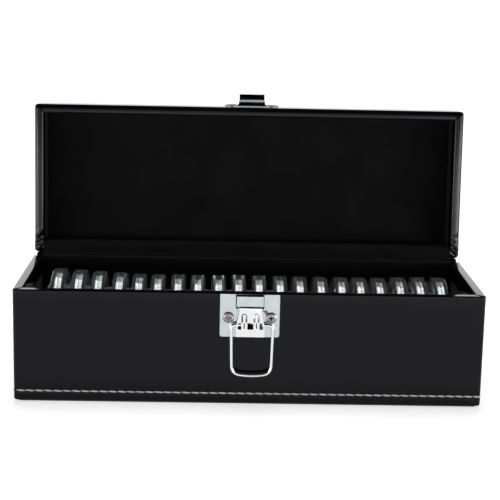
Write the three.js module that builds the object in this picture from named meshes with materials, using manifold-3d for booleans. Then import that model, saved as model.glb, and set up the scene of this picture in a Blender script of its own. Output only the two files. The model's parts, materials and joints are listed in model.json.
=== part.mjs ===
// Coin capsule box. A long box of covered board with a hinged lid and a draw latch holds clear
// coin capsules on edge in a formed tray. Millimetres: +X along the box, +Y to the back, +Z up.
// The origin is the centre of the underside. The lid is open and the latch hangs free.
import * as THREE from "three";
import { mergeVertices } from "three/addons/utils/BufferGeometryUtils.js";
import Module from "manifold-3d";

const wasm = await Module();
wasm.setup();

// Capsules, each of two halves that snap together
const capsuleCount = 20;
const capsuleDiameter = 51;
const capsuleThickness = 7.6;
const capsulePitch = 10.65;
const rimEase = 0.9;
const capsuleFace = 2;
const capsuleRimWidth = 2.4;
const halfSeam = 0.3;
const snapRingWall = 0.7;
const snapRingLength = 1.2;
const coinCapsuleSides = 16;

// How each capsule stands in its pocket: shares of the largest lift and of the largest lean
const largestLift = 2.4;
const largestLeanDegrees = 2.4;
const liftShares = [
  1, 0.75, 0.5, 0.29, 0.1, 0, 0.08, 0, 0, 0.15, 0.12, 0.08, 0, 0, 0, 0, 0, 0.2, 0.25, 0.3,
];
const leanShares = [
  0.35, 0.38, 0.1, 0.45, 0.1, -0.6, -0.6, -0.8, -0.5, -0.4,
  -0.3, 0.15, 0.1, 0.65, 1, 0.3, -0.1, 0, -0.2, 0.2,
];

// Tray of clear sheet
const traySheet = 0.5;
const trayDeckDrop = 17.1;
const trayEndReach = 6.4;
const traySkirt = 4;
const trayToWall = 1.3;
const trayShift = 0.4;
const pocketClear = 0.4;
const pocketSideClear = 0.5;
const pocketSides = 7;
const tileOverlap = 0.6;

// Covered board
const leather = 0.7;
const board = 3;
const lining = 0.6;
const bottomSheet = 0.6;
const glueGap = 0.3;
const cornerRadius = 1.8;
const cornerSteps = 3;
const rimTurn = 9;
const bottomTurn = 10;
const bottomSheetInset = 2.5;
const capsuleBelowRim = 1.1;
const sideSpace = 11;
const endSpace = 10;
const lidHeight = 26;
const padThickness = 2;

// Hinge
const openDegrees = 94;
const seam = 1;
const hingeEndInset = 1.5;
const hingeLeatherReach = 12;
const hingeLining = 0.5;
const hingeLiningDrop = 14;
const hingeLiningReach = 15;

// Latch on the base
const latchSheet = 0.8;
const plateWidth = 30.2;
const plateHeight = 22.5;
const plateCorner = 1.1;
const lipWidth = 13.5;
const lipHeight = 5.35;
const lipDrop = 0.45;
const lipSlot = 0.5;
const plateOpeningWidth = 13.4;
const plateOpeningHeight = 6.3;
const plateOpeningDrop = 5.7;
const pinRadius = 0.55;
const pinDrop = 7.2;
const pinOverhang = 0.5;
const runningGap = 0.15;
const earThickness = 0.8;
const earRadius = 1.1;
const leverTopWidth = 11;
const leverWaistWidth = 13.9;
const leverEdgeWidth = 14.3;
const leverLength = 14.3;
const leverWaistDrop = 7.8;
const leverKnuckle = 1.1;
const leverShift = 0.3;
const leverGap = 0.4;
const flangeBottomDrop = 10.3;
const flangeDepth = 1.8;
const archWidth = 2.9;
const archTongue = 1.4;
const archHeight = 4.7;
const archSpacing = 6.2;
const archDrop = 2.1;
const windowHeight = 3.3;
const windowWidth = 3;
const sideWindowWidth = 1.8;
const windowGap = 0.3;
const sideWindowPlace = 5.5;
const slitWidth = 0.5;
const slitFoot = 0.4;
const pressedSteps = 5;

// Wire bail
const wireRadius = 0.85;
const bailWidth = 21.2;
const bailFootWidth = 19.8;
const bailLength = 26.5;
const bailDrop = 8.5;
const bailBehindPin = 0.7;
const bailShoulder = 2.5;
const bailCorner = 4;
const bailBow = 0.4;
const bailStubInside = 1.2;
const bailSidePlay = 1.2;
const wireHoleGap = 0.2;
const wireSides = 6;
const bailSteps = 52;

// Screws and rivets
const screwHeadRadius = 2.9;
const screwHeadHeight = 1.1;
const screwRadius = 1;
const screwLength = 4.2;
const screwInset = 4.25;
const screwDrop = 12.4;
const recessWidth = 0.7;
const recessSpan = 3;
const recessDepth = 0.6;
const domeWidthShare = 0.7;
const domeHeightShare = 0.85;
const headEdgeShare = 0.35;
const rivetHeadHeight = 0.35;
const rivetInset = 4;
const rivetRise = 6.5;
const roundSides = 12;

// Hook on the lid
const hookSheet = 0.8;
const hookFlangeHeight = 11;
const hookFlangeLower = 1.6;
const hookWidth = 14;
const hookFlare = 1.5;
const hookFlareReach = 3.5;
const crookRadius = 2.65;
const hookSlack = 0.8;
const hookLipRise = 2;
const hookShift = 1.05;
const crookSteps = 8;

// One overrun serves all cuts
const overrun = 1;

// Worked out from the sizes above
const wall = leather + glueGap + board + glueGap + leather;
const carcassInset = leather + glueGap;
const liningFace = carcassInset + board + glueGap + lining;
const coverBottom = bottomSheet + glueGap;
const carcassBottom = coverBottom + leather + glueGap;
const floorTop = carcassBottom + board;
const liningTop = floorTop + glueGap + lining;
const trayBottom = liningTop + glueGap;
const capsuleRadius = capsuleDiameter / 2;
const coinRadius = capsuleRadius - capsuleRimWidth;
const capsuleCentre = trayBottom + traySheet + pocketClear + capsuleRadius;
const baseHeight = capsuleCentre + capsuleRadius + capsuleBelowRim;
const boxDepth = capsuleDiameter + 2 * (sideSpace + wall);
const rowLength = (capsuleCount - 1) * capsulePitch + capsuleThickness;
const boxLength = rowLength + 2 * (endSpace + wall);
const hingeBehind = glueGap + leather;
const hingeY = boxDepth / 2 + hingeBehind;
const hingeZ = baseHeight + seam / 2;
const faceY = -boxDepth / 2;
const plateFront = glueGap + latchSheet;
const screwSpacing = plateWidth - 2 * screwInset;
const rivetSpacing = plateWidth - 2 * rivetInset;
const pinOut = plateFront + screwHeadHeight + glueGap + wireRadius + bailBehindPin;
const pinZ = baseHeight - pinDrop;
const bailOut = pinOut - bailBehindPin;
const bailZ = pinZ - bailDrop;

const leatherBlack = new THREE.MeshStandardMaterial({
  color: 0x1d1f22, roughness: 0.45, metalness: 0,
});
const boardGrey = new THREE.MeshStandardMaterial({
  color: 0x8a7a66, roughness: 0.9, metalness: 0,
});
const liningBlack = new THREE.MeshStandardMaterial({
  color: 0x101012, roughness: 0.95, metalness: 0,
});
const chrome = new THREE.MeshStandardMaterial({
  color: 0xc8ccce, roughness: 0.15, metalness: 1,
});
const clearPlastic = new THREE.MeshStandardMaterial({
  color: 0xdfe3e4, roughness: 0.08, metalness: 0, transparent: true, opacity: 0.35,
});

const X = new THREE.Vector3(1, 0, 0);
const Y = new THREE.Vector3(0, 1, 0);
const Z = new THREE.Vector3(0, 0, 1);

// A closed geometry as a solid for joining and cutting, and back again
function solidOf(geometry) {
  const bare = geometry.clone();
  bare.deleteAttribute("normal");
  bare.deleteAttribute("uv");
  const merged = mergeVertices(bare);
  const corners = merged.index.array;
  const kept = [];
  for (let i = 0; i < corners.length; i += 3) {
    const [a, b, c] = corners.subarray(i, i + 3);
    if (a !== b && b !== c && c !== a) kept.push(a, b, c);
  }
  return new wasm.Manifold(new wasm.Mesh({
    numProp: 3,
    vertProperties: merged.attributes.position.array,
    triVerts: new Uint32Array(kept),
  }));
}

function geometryOf(solid) {
  const mesh = solid.getMesh();
  const geometry = new THREE.BufferGeometry();
  const points = new Float32Array(mesh.numVert * 3);
  for (let i = 0; i < mesh.numVert; i++) {
    const start = i * mesh.numProp;
    points.set(mesh.vertProperties.subarray(start, start + 3), i * 3);
  }
  geometry.setAttribute("position", new THREE.BufferAttribute(points, 3));
  geometry.setIndex(new THREE.BufferAttribute(mesh.triVerts, 1));
  geometry.computeVertexNormals();
  return geometry;
}

function join(...geometries) {
  return geometryOf(geometries.map(solidOf).reduce((a, b) => a.add(b)));
}

function cut(geometry, ...tools) {
  return geometryOf(tools.map(solidOf).reduce((a, b) => a.subtract(b), solidOf(geometry)));
}

// An outline drawn in X and Y, raised from one height to another
function raised(outline, low, high, curveSegments = cornerSteps) {
  const geometry = new THREE.ExtrudeGeometry(outline, {
    depth: high - low, bevelEnabled: false, curveSegments,
  });
  return geometry.translate(0, 0, low);
}

// An outline drawn in Y and Z, carried along X from one place to another
function acrossX(outline, from, to, curveSegments = pressedSteps) {
  const geometry = raised(outline, 0, to - from, curveSegments);
  geometry.applyMatrix4(new THREE.Matrix4().makeBasis(Y, Z, X));
  return geometry.translate(from, 0, 0);
}

// An outline drawn in X and Z, carried towards the front from the plane y = back
function forward(outline, back, thickness, curveSegments = pressedSteps) {
  const geometry = raised(outline, 0, thickness, curveSegments);
  geometry.applyMatrix4(new THREE.Matrix4().makeBasis(X, Z, Y.clone().negate()));
  return geometry.translate(0, back, 0);
}

// A cutter for a pressed sheet whose back is at the plane y = back
function through(outline, back) {
  return forward(outline, back + overrun, latchSheet + 2 * overrun);
}

// A round bar along X, and one along Y
function barAcrossX(radius, from, to, y, z, sides = roundSides) {
  const geometry = new THREE.CylinderGeometry(radius, radius, to - from, sides);
  geometry.rotateZ(-Math.PI / 2);
  return geometry.translate((from + to) / 2, y, z);
}

function barAlongY(radius, from, to, x, z) {
  const geometry = new THREE.CylinderGeometry(radius, radius, to - from, roundSides);
  return geometry.translate(x, (from + to) / 2, z);
}

function rectangle(left, right, bottom, top, Kind = THREE.Shape) {
  const corners = [[left, bottom], [right, bottom], [right, top], [left, top]];
  return new Kind(corners.map(([x, y]) => new THREE.Vector2(x, y)));
}

// A rectangle about the origin with rounded corners
function rounded(length, depth, radius, Kind = THREE.Shape) {
  const path = new Kind();
  const [x, y] = [length / 2 - radius, depth / 2 - radius];
  path.absarc(x, -y, radius, -Math.PI / 2, 0, false);
  path.absarc(x, y, radius, 0, Math.PI / 2, false);
  path.absarc(-x, y, radius, Math.PI / 2, Math.PI, false);
  path.absarc(-x, -y, radius, Math.PI, Math.PI * 1.5, false);
  return path;
}

// The outline of the box drawn in by an inset; its corners sharpen as it goes in
function boxOutline(inset, Kind = THREE.Shape) {
  const [length, depth] = [boxLength - 2 * inset, boxDepth - 2 * inset];
  if (inset >= cornerRadius) return rectangle(-length / 2, length / 2, -depth / 2, depth / 2, Kind);
  return rounded(length, depth, cornerRadius - inset, Kind);
}

// A wall that follows the box outline between two insets
function ring(outerInset, innerInset, low, high) {
  const outline = boxOutline(outerInset);
  outline.holes.push(boxOutline(innerInset, THREE.Path));
  return raised(outline, low, high);
}

function slab(inset, low, high) {
  return raised(boxOutline(inset), low, high);
}

// A strip of the given thickness whose middle follows points in Y and Z
function strip(points, thickness) {
  const sides = points.map((point, i) => {
    const before = points[Math.max(i - 1, 0)];
    const after = points[Math.min(i + 1, points.length - 1)];
    const into = point.clone().sub(before);
    const out = after.clone().sub(point);
    const a = (i ? into : out).normalize();
    const b = (i < points.length - 1 ? out : into).normalize();
    const along = a.clone().add(b).normalize();
    const reach = thickness / 2 / Math.max(along.dot(a), Math.SQRT1_2);
    return new THREE.Vector2(-along.y, along.x).multiplyScalar(reach);
  });
  const left = points.map((point, i) => point.clone().add(sides[i]));
  const right = points.map((point, i) => point.clone().sub(sides[i]));
  return new THREE.Shape([...left, ...right.reverse()]);
}

const part = new THREE.Group();

function piece(name, geometry, material, parent = part) {
  const mesh = new THREE.Mesh(geometry, material);
  mesh.name = name;
  parent.add(mesh);
  return mesh;
}

// Holes for the screws of the latch plate, through everything behind it
const screwPlaces = [-screwSpacing / 2, screwSpacing / 2];
const screwZ = baseHeight - screwDrop;

function screwHoles() {
  const inside = faceY + screwLength - plateFront + glueGap;
  const outside = faceY - plateFront - overrun;
  return screwPlaces.map((x) =>
    barAlongY(screwRadius + glueGap, outside, inside, x, screwZ));
}

function baseCarcass() {
  const top = baseHeight - leather - glueGap;
  const box = join(
    ring(carcassInset, carcassInset + board, carcassBottom, top),
    slab(carcassInset, carcassBottom, floorTop),
  );
  return cut(box, ...screwHoles());
}

function baseCover() {
  const skin = join(
    ring(0, leather, coverBottom, baseHeight),
    ring(0, wall, baseHeight - leather, baseHeight),
    ring(wall - leather, wall, baseHeight - rimTurn, baseHeight),
    ring(0, bottomTurn, coverBottom, coverBottom + leather),
  );
  return cut(skin, ...screwHoles());
}

function baseLining() {
  return join(
    ring(liningFace - lining, liningFace, liningTop - lining, baseHeight - rimTurn - glueGap),
    slab(liningFace - lining, liningTop - lining, liningTop),
  );
}

// Where each capsule stands
const leans = leanShares.map((share) => THREE.MathUtils.degToRad(share * largestLeanDegrees));
const lifts = liftShares.map((share) => share * largestLift);

function capsulePlace(i) {
  return trayShift + (i - (capsuleCount - 1) / 2) * capsulePitch;
}

function capsuleMatrix(i) {
  const stand = new THREE.Object3D();
  stand.position.set(capsulePlace(i), 0, capsuleCentre + lifts[i]);
  stand.rotation.y = leans[i];
  stand.updateMatrix();
  return stand.matrix;
}

// A pocket's outline in Y and Z about the capsule's centre: a half round with straight sides
function pocketOutline(radius, top) {
  const outline = new THREE.Shape();
  outline.moveTo(-radius, top);
  outline.lineTo(-radius, 0);
  outline.absarc(0, 0, radius, Math.PI, 2 * Math.PI, false);
  outline.lineTo(radius, top);
  return outline;
}

function pocketSolid(growth, top) {
  const half = capsuleThickness / 2 + pocketSideClear + growth;
  const outline = pocketOutline(capsuleRadius + pocketClear + growth, top);
  return acrossX(outline, -half, half, pocketSides);
}

// One pitch of the deck, with the skirts along its front and back, sloped like the tray there
function trayTile(i, from, to) {
  const before = Math.max(i - 1, 0);
  const after = Math.min(i + 1, capsuleCount - 1);
  const slope = (lifts[after] - lifts[before]) / ((after - before) * capsulePitch);
  const half = boxDepth / 2 - liningFace - trayToWall;
  const section = rectangle(-half, half, -traySheet, 0);
  const back = rectangle(half - traySheet, half, -traySkirt, 0);
  const front = rectangle(-half, traySheet - half, -traySkirt, 0);
  const tile = join(...[section, back, front].map((outline) => acrossX(outline, from, to)));
  const stand = new THREE.Object3D();
  stand.position.set(capsulePlace(i), 0, baseHeight - trayDeckDrop + lifts[i]);
  stand.rotation.y = -Math.atan(slope);
  stand.updateMatrix();
  return tile.applyMatrix4(stand.matrix);
}

function trayEnd(i, x) {
  const half = boxDepth / 2 - liningFace - trayToWall;
  const end = acrossX(rectangle(-half, half, -traySkirt, 0), x, x + traySheet);
  const stand = new THREE.Object3D();
  stand.position.set(capsulePlace(i), 0, baseHeight - trayDeckDrop + lifts[i]);
  stand.updateMatrix();
  return end.applyMatrix4(stand.matrix);
}

function capsuleTray() {
  const last = capsuleCount - 1;
  const reach = capsuleThickness / 2 + trayEndReach;
  const half = (capsulePitch + tileOverlap) / 2;
  const deckTop = baseHeight - trayDeckDrop - capsuleCentre;
  const solids = [];
  const pockets = [];
  for (let i = 0; i < capsuleCount; i++) {
    solids.push(trayTile(i, i ? -half : -reach, i < last ? half : reach));
    solids.push(pocketSolid(traySheet, deckTop).applyMatrix4(capsuleMatrix(i)));
    pockets.push(pocketSolid(0, deckTop + overrun).applyMatrix4(capsuleMatrix(i)));
  }
  solids.push(trayEnd(0, -reach), trayEnd(last, reach - traySheet));
  return cut(join(...solids), ...pockets);
}

// A capsule half turned about X from a profile of radius and place along the axis
function capsuleHalf(profile) {
  const points = profile.map(([radius, along]) => new THREE.Vector2(radius, along));
  return new THREE.LatheGeometry(points, coinCapsuleSides).rotateZ(-Math.PI / 2);
}

function plainHalf() {
  const [outer, half] = [capsuleRadius, capsuleThickness / 2];
  const recess = coinRadius + snapRingWall + glueGap;
  const recessFloor = -snapRingLength - glueGap;
  return capsuleHalf([
    [0, -half],
    [outer - rimEase, -half],
    [outer, rimEase - half],
    [outer, -halfSeam / 2],
    [recess, -halfSeam / 2],
    [recess, recessFloor],
    [coinRadius, recessFloor],
    [coinRadius, capsuleFace - half],
    [0, capsuleFace - half],
  ]);
}

function ringHalf() {
  const [outer, half] = [capsuleRadius, capsuleThickness / 2];
  const ringOuter = coinRadius + snapRingWall;
  return capsuleHalf([
    [0, half - capsuleFace],
    [coinRadius, half - capsuleFace],
    [coinRadius, -snapRingLength],
    [ringOuter, -snapRingLength],
    [ringOuter, halfSeam / 2],
    [outer, halfSeam / 2],
    [outer, half - rimEase],
    [outer - rimEase, half],
    [0, half],
  ]);
}

function capsules() {
  const [plain, ringed] = [plainHalf(), ringHalf()];
  for (let i = 0; i < capsuleCount; i++) {
    const name = "capsule_" + String(i + 1).padStart(2, "0");
    const stand = new THREE.Group();
    stand.position.set(capsulePlace(i), 0, capsuleCentre + lifts[i]);
    stand.rotation.y = leans[i];
    part.add(stand);
    piece(name + "_left_half", plain, clearPlastic, stand);
    piece(name + "_right_half", ringed, clearPlastic, stand);
  }
}

// The latch plate: a pressed sheet with a raised lip lanced from it and two ears for the pin
const earInner = leverTopWidth / 2 + leverShift + leverGap;
const lipTop = baseHeight - lipDrop;
const lipBottom = lipTop - lipHeight;

function plateOutline() {
  const [half, top] = [plateWidth / 2, baseHeight];
  const bottom = top - plateHeight;
  const outline = new THREE.Shape();
  outline.moveTo(half, top);
  outline.lineTo(-half, top);
  outline.absarc(plateCorner - half, bottom + plateCorner, plateCorner,
    Math.PI, Math.PI * 1.5, false);
  outline.absarc(half - plateCorner, bottom + plateCorner, plateCorner,
    Math.PI * 1.5, 2 * Math.PI, false);
  return outline;
}

function lipSlots() {
  return [-1, 1].map((side) => {
    const near = side * lipWidth / 2;
    const far = near + side * lipSlot;
    const slot = rectangle(Math.min(near, far), Math.max(near, far), lipBottom, lipTop);
    return through(slot, faceY - glueGap);
  });
}

// The opening behind the lever, where the plate is cut away
function plateOpening() {
  const [half, top] = [plateOpeningWidth / 2, pinZ - plateOpeningDrop];
  const hole = rectangle(leverShift - half, leverShift + half, top - plateOpeningHeight, top);
  return through(hole, faceY - glueGap);
}

function lip() {
  const [outer, inner] = [pinOut + latchSheet / 2, pinOut - latchSheet / 2];
  const front = rectangle(faceY - outer, faceY - inner, lipBottom, lipTop);
  const top = rectangle(faceY - outer, faceY - glueGap, lipTop - latchSheet, lipTop);
  const half = lipWidth / 2;
  return join(acrossX(front, -half, half), acrossX(top, -half, half));
}

function ear(from) {
  const [y, root] = [faceY - pinOut, faceY - glueGap];
  const outline = new THREE.Shape();
  outline.moveTo(root, pinZ + earRadius);
  outline.lineTo(y, pinZ + earRadius);
  outline.absarc(y, pinZ, earRadius, Math.PI / 2, Math.PI * 1.5, false);
  outline.lineTo(root, pinZ - earRadius);
  const hole = new THREE.Path();
  hole.absarc(y, pinZ, pinRadius + runningGap, 0, 2 * Math.PI, false);
  outline.holes.push(hole);
  return acrossX(outline, from, from + earThickness);
}

function latchPlate() {
  const plate = forward(plateOutline(), faceY - glueGap, latchSheet);
  const solid = join(plate, lip(), ear(earInner), ear(-earInner - earThickness));
  return cut(solid, plateOpening(), ...lipSlots(), ...screwHoles());
}

function latchPin() {
  const end = earInner + earThickness + pinOverhang;
  return barAcrossX(pinRadius, -end, end, faceY - pinOut, pinZ);
}

// The lever's half width at a height below the pin
function leverHalf(drop) {
  const share = Math.min(drop / leverWaistDrop, 1);
  return THREE.MathUtils.lerp(leverTopWidth, leverWaistWidth, share) / 2;
}

// A pressed arch: a slot round a tongue that stays joined at its foot
function archSlot(x, foot) {
  const [wide, narrow] = [archWidth / 2, archTongue / 2];
  const spring = foot + archHeight - wide;
  const slot = new THREE.Shape();
  slot.moveTo(x + wide, foot);
  slot.lineTo(x + wide, spring);
  slot.absarc(x, spring, wide, 0, Math.PI, false);
  slot.lineTo(x - wide, foot);
  slot.lineTo(x - narrow, foot);
  slot.absarc(x, spring, narrow, Math.PI, 0, true);
  slot.lineTo(x + narrow, foot);
  return slot;
}

function leverFace() {
  const [top, waist, edge] = [leverTopWidth / 2, leverWaistWidth / 2, leverEdgeWidth / 2];
  const windowTop = pinZ - archDrop - archHeight - windowGap;
  const windowBottom = windowTop - windowHeight;
  const corners = [
    [-top, pinZ], [-waist, pinZ - leverWaistDrop], [-waist, windowBottom],
    [-edge, windowBottom], [-edge, pinZ - leverLength],
    [edge, pinZ - leverLength], [edge, windowBottom],
    [waist, windowBottom], [waist, pinZ - leverWaistDrop], [top, pinZ],
  ];
  const outline = new THREE.Shape(corners.map(([x, z]) => new THREE.Vector2(x, z)));
  const back = faceY - pinOut - leverKnuckle + latchSheet;
  const archPlaces = [-archSpacing / 2, archSpacing / 2];
  const arches = archPlaces.map((x) => archSlot(x, windowTop + windowGap));
  const slits = archPlaces.map((x) => rectangle(
    x - slitWidth / 2, x + slitWidth / 2, windowBottom + slitFoot, windowTop));
  const windows = [
    [0, windowWidth], [-sideWindowPlace, sideWindowWidth], [sideWindowPlace, sideWindowWidth],
  ].map(([x, width]) => rectangle(x - width / 2, x + width / 2, windowBottom, windowTop));
  const openings = [...arches, ...slits, ...windows].map((shape) => through(shape, back));
  return cut(forward(outline, back, latchSheet), ...openings);
}

// A side flange of the lever, holding the end of the bail
function leverFlange(side) {
  const front = faceY - pinOut - leverKnuckle;
  const top = -leverKnuckle - leverGap;
  const back = front + latchSheet + flangeDepth;
  const wireY = faceY - bailOut;
  const round = wireRadius + wireHoleGap + latchSheet;
  const outline = new THREE.Shape();
  outline.moveTo(front, top);
  outline.lineTo(front, -flangeBottomDrop);
  outline.absarc(wireY, -bailDrop, round, -Math.PI / 2, Math.PI / 2, false);
  outline.lineTo(back, top);
  const hole = new THREE.Path();
  hole.absarc(wireY, -bailDrop, wireRadius + wireHoleGap, 0, 2 * Math.PI, false);
  outline.holes.push(hole);
  const outer = leverTopWidth / 2;
  const from = side > 0 ? outer - latchSheet : -outer;
  const flange = acrossX(outline, from, from + latchSheet);
  const flare = (leverWaistWidth - leverTopWidth) / 2 / leverWaistDrop;
  const shear = new THREE.Matrix4().makeShear(0, 0, 0, 0, -side * flare, 0);
  return flange.applyMatrix4(shear).translate(0, 0, pinZ);
}

function latchLever() {
  const [y, half] = [faceY - pinOut, leverTopWidth / 2];
  const barrel = barAcrossX(leverKnuckle, -half, half, y, pinZ);
  const bore = barAcrossX(pinRadius + runningGap, -half - overrun, half + overrun, y, pinZ);
  return cut(join(leverFace(), barrel, leverFlange(-1), leverFlange(1)), bore);
}

// The bail: stubs in the lever's flanges, shoulders, legs that draw in, and a bowed foot
function bailMiddle() {
  const [top, foot] = [bailWidth / 2, bailFootWidth / 2];
  const stub = leverHalf(bailDrop) - latchSheet - bailStubInside;
  const low = -bailLength;
  const drawnIn = (t) => THREE.MathUtils.lerp(top, foot, t);
  const side = [
    [stub, 0], [(stub + top - bailShoulder) / 2, 0], [top - bailShoulder, 0],
    [top - bailShoulder * (1 - Math.SQRT1_2), -bailShoulder * (1 - Math.SQRT1_2)],
    [top, -bailShoulder], [drawnIn(1 / 3), low / 3], [drawnIn(2 / 3), low * 2 / 3],
    [foot, low + bailBow + bailCorner],
    [foot - bailCorner * (1 - Math.SQRT1_2), low + bailBow + bailCorner * (1 - Math.SQRT1_2)],
    [foot - bailCorner, low + bailBow],
  ];
  const right = side.map(([x, z]) => new THREE.Vector3(x, 0, z));
  const left = right.map((point) => new THREE.Vector3(-point.x, 0, point.z));
  const middle = new THREE.Vector3(0, 0, low);
  return new THREE.CatmullRomCurve3([...left, middle, ...right.reverse()], false, "centripetal");
}

function wireBail() {
  const section = new THREE.Shape();
  section.absarc(0, 0, wireRadius, 0, 2 * Math.PI, false);
  return new THREE.ExtrudeGeometry(section, {
    steps: bailSteps, extrudePath: bailMiddle(), curveSegments: wireSides / 2,
  }).translate(bailSidePlay, faceY - bailOut, bailZ);
}

// A round-headed screw along -Y with a crossed recess, its head's underside at the origin
function screw() {
  const tip = -screwLength;
  const profile = [
    [0, tip], [screwRadius, tip], [screwRadius, 0], [screwHeadRadius, 0],
    [screwHeadRadius, screwHeadHeight * headEdgeShare],
    [screwHeadRadius * domeWidthShare, screwHeadHeight * domeHeightShare],
    [0, screwHeadHeight],
  ];
  const points = profile.map(([radius, along]) => new THREE.Vector2(radius, along));
  const body = new THREE.LatheGeometry(points, roundSides);
  const top = screwHeadHeight + overrun;
  const bottom = screwHeadHeight - recessDepth;
  const slot = new THREE.BoxGeometry(recessSpan, top - bottom, recessWidth);
  slot.translate(0, (top + bottom) / 2, 0);
  const cross = slot.clone().rotateY(Math.PI / 2);
  return cut(body, slot, cross).rotateX(Math.PI);
}

function rivet() {
  const profile = [
    [0, -screwLength], [screwRadius, -screwLength], [screwRadius, 0],
    [screwHeadRadius, 0], [screwHeadRadius, rivetHeadHeight * headEdgeShare],
    [0, rivetHeadHeight],
  ];
  const points = profile.map(([radius, along]) => new THREE.Vector2(radius, along));
  return new THREE.LatheGeometry(points, roundSides).rotateX(Math.PI);
}

function latch() {
  piece("latch_plate", latchPlate(), chrome);
  piece("latch_pin", latchPin(), chrome);
  piece("latch_lever", latchLever(), chrome).position.x = leverShift;
  piece("wire_bail", wireBail(), chrome);
  const places = { left: -screwSpacing / 2, right: screwSpacing / 2 };
  for (const [side, x] of Object.entries(places)) {
    const mesh = piece("latch_screw_" + side, screw(), chrome);
    mesh.position.set(x, faceY - plateFront, screwZ);
  }
}

// The lid, drawn closed in the frame of the hinge line and then turned open
const lidRim = seam / 2;
const lidTop = lidRim + lidHeight;
const boardUnder = lidTop - leather - glueGap - board;
const lidFace = faceY - hingeY;
const barZ = bailZ + bailLength - hingeZ;
const crookZ = barZ - bailBow - wireRadius - hookSlack + crookRadius;
const rivetZ = crookZ + rivetRise;

function rivetHoles() {
  const inside = lidFace + screwLength - plateFront + glueGap;
  const outside = lidFace - plateFront - overrun;
  return [-1, 1].map((side) => barAlongY(
    screwRadius + glueGap, outside, inside, hookShift + side * rivetSpacing / 2, rivetZ));
}

// Pieces that follow the box outline are drawn about the box's middle and moved to the hinge
function overBox(geometry) {
  return geometry.translate(0, -hingeY, 0);
}

function lidCarcass() {
  const box = join(
    overBox(ring(carcassInset, carcassInset + board, lidRim + leather + glueGap, lidTop - carcassInset)),
    overBox(slab(carcassInset, boardUnder, boardUnder + board)),
  );
  return cut(box, ...rivetHoles());
}

function lidCover() {
  const skin = join(
    overBox(ring(0, leather, lidRim, lidTop)),
    overBox(slab(0, lidTop - leather, lidTop)),
    overBox(ring(0, wall, lidRim, lidRim + leather)),
    overBox(ring(wall - leather, wall, lidRim, lidRim + rimTurn)),
  );
  return cut(skin, ...rivetHoles());
}

function lidLining() {
  const low = lidRim + rimTurn + glueGap;
  return overBox(ring(liningFace - lining, liningFace, low, boardUnder - glueGap));
}

function lidPad() {
  const top = boardUnder - glueGap;
  return overBox(slab(liningFace + glueGap, top - padThickness, top));
}

// The strip widens smoothly towards its root, where it leaves the flange
function flared(geometry, root) {
  const places = geometry.getAttribute("position");
  for (let i = 0; i < places.count; i++) {
    const near = Math.max(0, 1 - (root - places.getY(i)) / hookFlareReach);
    const widening = 1 + near ** 2 * hookFlare / (hookWidth / 2);
    places.setX(i, places.getX(i) * widening);
  }
  return geometry;
}

// The hook: a flange on the lid's face and a strip curled under the foot of the raised bail
function hookPlate() {
  const crookOut = plateFront + crookRadius;
  const flange = forward(
    rectangle(-plateWidth / 2, plateWidth / 2, crookZ - hookFlangeLower,
      crookZ - hookFlangeLower + hookFlangeHeight),
    lidFace - glueGap, hookSheet);
  const y = lidFace - crookOut;
  const outer = crookRadius + hookSheet;
  const crook = new THREE.Shape();
  crook.moveTo(y - outer, crookZ + hookLipRise);
  crook.lineTo(y - outer, crookZ);
  crook.absarc(y, crookZ, outer, Math.PI, 2 * Math.PI, false);
  crook.lineTo(y + outer, crookZ + hookLipRise);
  crook.lineTo(y + crookRadius, crookZ + hookLipRise);
  crook.absarc(y, crookZ, crookRadius, 2 * Math.PI, Math.PI, true);
  crook.lineTo(y - crookRadius, crookZ + hookLipRise);
  const curl = flared(
    acrossX(crook, -hookWidth / 2, hookWidth / 2, crookSteps), y + outer);
  return cut(join(flange, curl).translate(hookShift, 0, 0), ...rivetHoles());
}

function lid() {
  const turned = new THREE.Group();
  turned.position.set(0, hingeY, hingeZ);
  turned.rotation.x = -THREE.MathUtils.degToRad(openDegrees);
  part.add(turned);
  piece("lid_carcass", lidCarcass(), boardGrey, turned);
  piece("lid_cover", lidCover(), leatherBlack, turned);
  piece("lid_lining", lidLining(), liningBlack, turned);
  piece("lid_pad", lidPad(), liningBlack, turned);
  piece("hook_plate", hookPlate(), chrome, turned);
  const places = { left: -rivetSpacing / 2, right: rivetSpacing / 2 };
  for (const [side, x] of Object.entries(places)) {
    const mesh = piece("hook_rivet_" + side, rivet(), chrome, turned);
    mesh.position.set(hookShift + x, lidFace - plateFront, rivetZ);
  }
}

// A point of the open lid, given in the hinge's frame
function onLid(y, z) {
  const turn = -THREE.MathUtils.degToRad(openDegrees);
  const point = new THREE.Vector2(y, z).rotateAround(new THREE.Vector2(), turn);
  return point.add(new THREE.Vector2(hingeY, hingeZ));
}

function hingeLeather() {
  const y = hingeY - leather / 2;
  const points = [
    new THREE.Vector2(y, baseHeight - hingeLeatherReach),
    new THREE.Vector2(y, hingeZ + leather / 2),
    onLid(-leather / 2, hingeLeatherReach),
  ];
  const half = boxLength / 2 - hingeEndInset;
  return acrossX(strip(points, leather), -half, half);
}

function hingeLiningStrip() {
  const inner = boxDepth / 2 - wall - glueGap - hingeLining / 2;
  const over = baseHeight + glueGap + hingeLining / 2;
  const rimFront = lidRim - glueGap - hingeLining / 2;
  const lidInner = -hingeBehind - wall - glueGap - hingeLining / 2;
  const points = [
    new THREE.Vector2(inner, baseHeight - hingeLiningDrop),
    new THREE.Vector2(inner, over),
    new THREE.Vector2(boxDepth / 2 - wall / 2, over),
    onLid(-hingeBehind - leather, rimFront),
    onLid(lidInner, rimFront),
    onLid(lidInner, lidRim + hingeLiningReach),
  ];
  const half = boxLength / 2 - wall - glueGap;
  return acrossX(strip(points, hingeLining), -half, half);
}

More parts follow.
